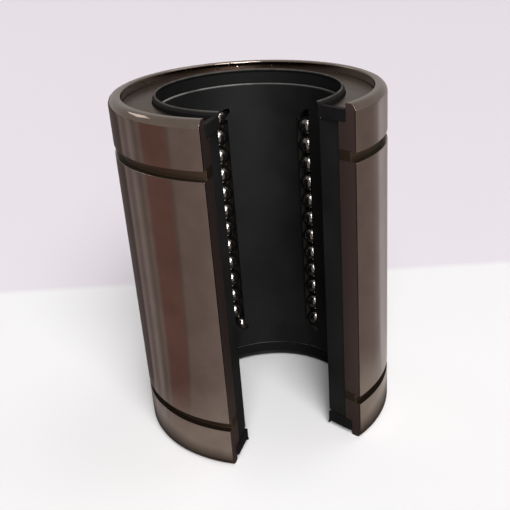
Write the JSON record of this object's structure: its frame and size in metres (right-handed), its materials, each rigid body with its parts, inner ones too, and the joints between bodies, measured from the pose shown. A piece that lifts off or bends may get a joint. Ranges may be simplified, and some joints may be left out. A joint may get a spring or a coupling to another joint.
{
  "type": "open-type linear ball bushing",
  "caption": "Slotted steel sleeve with two ring grooves, a resin ball retainer, endless ball circuits and end seals, for a shaft on a support rail.",
  "frame": {"origin": "on the bore's axis at mid-length", "axes": "+Z along the bore; the shaft slot faces -Y"},
  "size_m": [0.06, 0.0557, 0.08],
  "materials": {
    "ground_steel": "hardened and ground bearing steel, polished outside",
    "retainer_resin": "black moulded resin",
    "seal_rubber": "black moulded rubber",
    "plate_steel": "pressed steel, dark oiled",
    "bearing_balls": "polished bearing steel"
  },
  "bodies": {
    "bushing": {"outer_sleeve": "ground_steel", "ball_retainer": "retainer_resin", "upper_seal": "seal_rubber", "lower_seal": "seal_rubber", "upper_seal_plate": "plate_steel", "lower_seal_plate": "plate_steel"},
    "loaded_row_1": {"loaded_row_1": "bearing_balls"},
    "return_row_1": {"return_row_1": "bearing_balls"},
    "upper_turn_1": {"upper_turn_1": "bearing_balls"},
    "lower_turn_1": {"lower_turn_1": "bearing_balls"},
    "loaded_row_2": {"loaded_row_2": "bearing_balls"},
    "return_row_2": {"return_row_2": "bearing_balls"},
    "upper_turn_2": {"upper_turn_2": "bearing_balls"},
    "lower_turn_2": {"lower_turn_2": "bearing_balls"},
    "loaded_row_3": {"loaded_row_3": "bearing_balls"},
    "return_row_3": {"return_row_3": "bearing_balls"},
    "upper_turn_3": {"upper_turn_3": "bearing_balls"},
    "lower_turn_3": {"lower_turn_3": "bearing_balls"},
    "loaded_row_4": {"loaded_row_4": "bearing_balls"},
    "return_row_4": {"return_row_4": "bearing_balls"},
    "upper_turn_4": {"upper_turn_4": "bearing_balls"},
    "lower_turn_4": {"lower_turn_4": "bearing_balls"},
    "loaded_row_5": {"loaded_row_5": "bearing_balls"},
    "return_row_5": {"return_row_5": "bearing_balls"},
    "upper_turn_5": {"upper_turn_5": "bearing_balls"},
    "lower_turn_5": {"lower_turn_5": "bearing_balls"}
  },
  "joints": [
    {"name": "loaded_row_1_run", "type": "slide", "parent": "bushing", "child": "loaded_row_1", "axis": [0, 0, 1], "range_m": [-0.00243, 0.00243]},
    {"name": "return_row_1_run", "type": "slide", "parent": "bushing", "child": "return_row_1", "axis": [0, 0, -1], "range_m": [-0.00243, 0.00243]},
    {"name": "upper_turn_1_run", "type": "hinge", "parent": "bushing", "child": "upper_turn_1", "pos_m": [0.02007, -0.01049, 0.02668], "axis": [0.9472, -0.3206, 0], "range_deg": [-45.02, 45.02]},
    {"name": "lower_turn_1_run", "type": "hinge", "parent": "bushing", "child": "lower_turn_1", "pos_m": [0.02007, -0.01049, -0.02668], "axis": [0.9472, -0.3206, 0], "range_deg": [-45.02, 45.02]},
    {"name": "loaded_row_2_run", "type": "slide", "parent": "bushing", "child": "loaded_row_2", "axis": [0, 0, 1], "range_m": [-0.00412, 0.00073]},
    {"name": "return_row_2_run", "type": "slide", "parent": "bushing", "child": "return_row_2", "axis": [0, 0, -1], "range_m": [-0.00412, 0.00073]},
    {"name": "upper_turn_2_run", "type": "hinge", "parent": "bushing", "child": "upper_turn_2", "pos_m": [0.01921, 0.012, 0.02668], "axis": [0.7559, 0.6547, 0], "range_deg": [-76.52, 13.52]},
    {"name": "lower_turn_2_run", "type": "hinge", "parent": "bushing", "child": "lower_turn_2", "pos_m": [0.01921, 0.012, -0.02668], "axis": [0.7559, 0.6547, 0], "range_deg": [-76.52, 13.52]},
    {"name": "loaded_row_3_run", "type": "slide", "parent": "bushing", "child": "loaded_row_3", "axis": [0, 0, 1], "range_m": [-0.0016, 0.00325]},
    {"name": "return_row_3_run", "type": "slide", "parent": "bushing", "child": "return_row_3", "axis": [0, 0, -1], "range_m": [-0.0016, 0.00325]},
    {"name": "upper_turn_3_run", "type": "hinge", "parent": "bushing", "child": "upper_turn_3", "pos_m": [-0.00063, 0.02264, 0.02668], "axis": [-0.1822, 0.9833, 0], "range_deg": [-29.72, 60.32]},
    {"name": "lower_turn_3_run", "type": "hinge", "parent": "bushing", "child": "lower_turn_3", "pos_m": [-0.00063, 0.02264, -0.02668], "axis": [-0.1822, 0.9833, 0], "range_deg": [-29.72, 60.32]},
    {"name": "loaded_row_4_run", "type": "slide", "parent": "bushing", "child": "loaded_row_4", "axis": [0, 0, 1], "range_m": [-0.00194, 0.00291]},
    {"name": "return_row_4_run", "type": "slide", "parent": "bushing", "child": "return_row_4", "axis": [0, 0, -1], "range_m": [-0.00194, 0.00291]},
    {"name": "upper_turn_4_run", "type": "hinge", "parent": "bushing", "child": "upper_turn_4", "pos_m": [-0.01985, 0.01091, 0.02668], "axis": [-0.9403, 0.3404, 0], "range_deg": [-36.02, 54.02]},
    {"name": "lower_turn_4_run", "type": "hinge", "parent": "bushing", "child": "lower_turn_4", "pos_m": [-0.01985, 0.01091, -0.02668], "axis": [-0.9403, 0.3404, 0], "range_deg": [-36.02, 54.02]},
    {"name": "loaded_row_5_run", "type": "slide", "parent": "bushing", "child": "loaded_row_5", "axis": [0, 0, 1], "range_m": [-0.00291, 0.00194]},
    {"name": "return_row_5_run", "type": "slide", "parent": "bushing", "child": "return_row_5", "axis": [0, 0, -1], "range_m": [-0.00291, 0.00194]},
    {"name": "upper_turn_5_run", "type": "hinge", "parent": "bushing", "child": "upper_turn_5", "pos_m": [-0.01945, -0.0116, 0.02668], "axis": [-0.7694, -0.6388, 0], "range_deg": [-54.02, 36.02]},
    {"name": "lower_turn_5_run", "type": "hinge", "parent": "bushing", "child": "lower_turn_5", "pos_m": [-0.01945, -0.0116, -0.02668], "axis": [-0.7694, -0.6388, 0], "range_deg": [-54.02, 36.02]}
  ],
  "couplings": [
    {"joint": "return_row_1_run", "follows": "loaded_row_1_run", "ratio": 1},
    {"joint": "upper_turn_1_run", "follows": "loaded_row_1_run", "rad_per_m": 323.88},
    {"joint": "lower_turn_1_run", "follows": "loaded_row_1_run", "rad_per_m": 323.88},
    {"joint": "return_row_2_run", "follows": "loaded_row_2_run", "ratio": 1},
    {"joint": "upper_turn_2_run", "follows": "loaded_row_2_run", "rad_per_m": 323.88},
    {"joint": "lower_turn_2_run", "follows": "loaded_row_2_run", "rad_per_m": 323.88},
    {"joint": "return_row_3_run", "follows": "loaded_row_3_run", "ratio": 1},
    {"joint": "upper_turn_3_run", "follows": "loaded_row_3_run", "rad_per_m": 323.88},
    {"joint": "lower_turn_3_run", "follows": "loaded_row_3_run", "rad_per_m": 323.88},
    {"joint": "return_row_4_run", "follows": "loaded_row_4_run", "ratio": 1},
    {"joint": "upper_turn_4_run", "follows": "loaded_row_4_run", "rad_per_m": 323.88},
    {"joint": "lower_turn_4_run", "follows": "loaded_row_4_run", "rad_per_m": 323.88},
    {"joint": "return_row_5_run", "follows": "loaded_row_5_run", "ratio": 1},
    {"joint": "upper_turn_5_run", "follows": "loaded_row_5_run", "rad_per_m": 323.88},
    {"joint": "lower_turn_5_run", "follows": "loaded_row_5_run", "rad_per_m": 323.88}
  ]
}
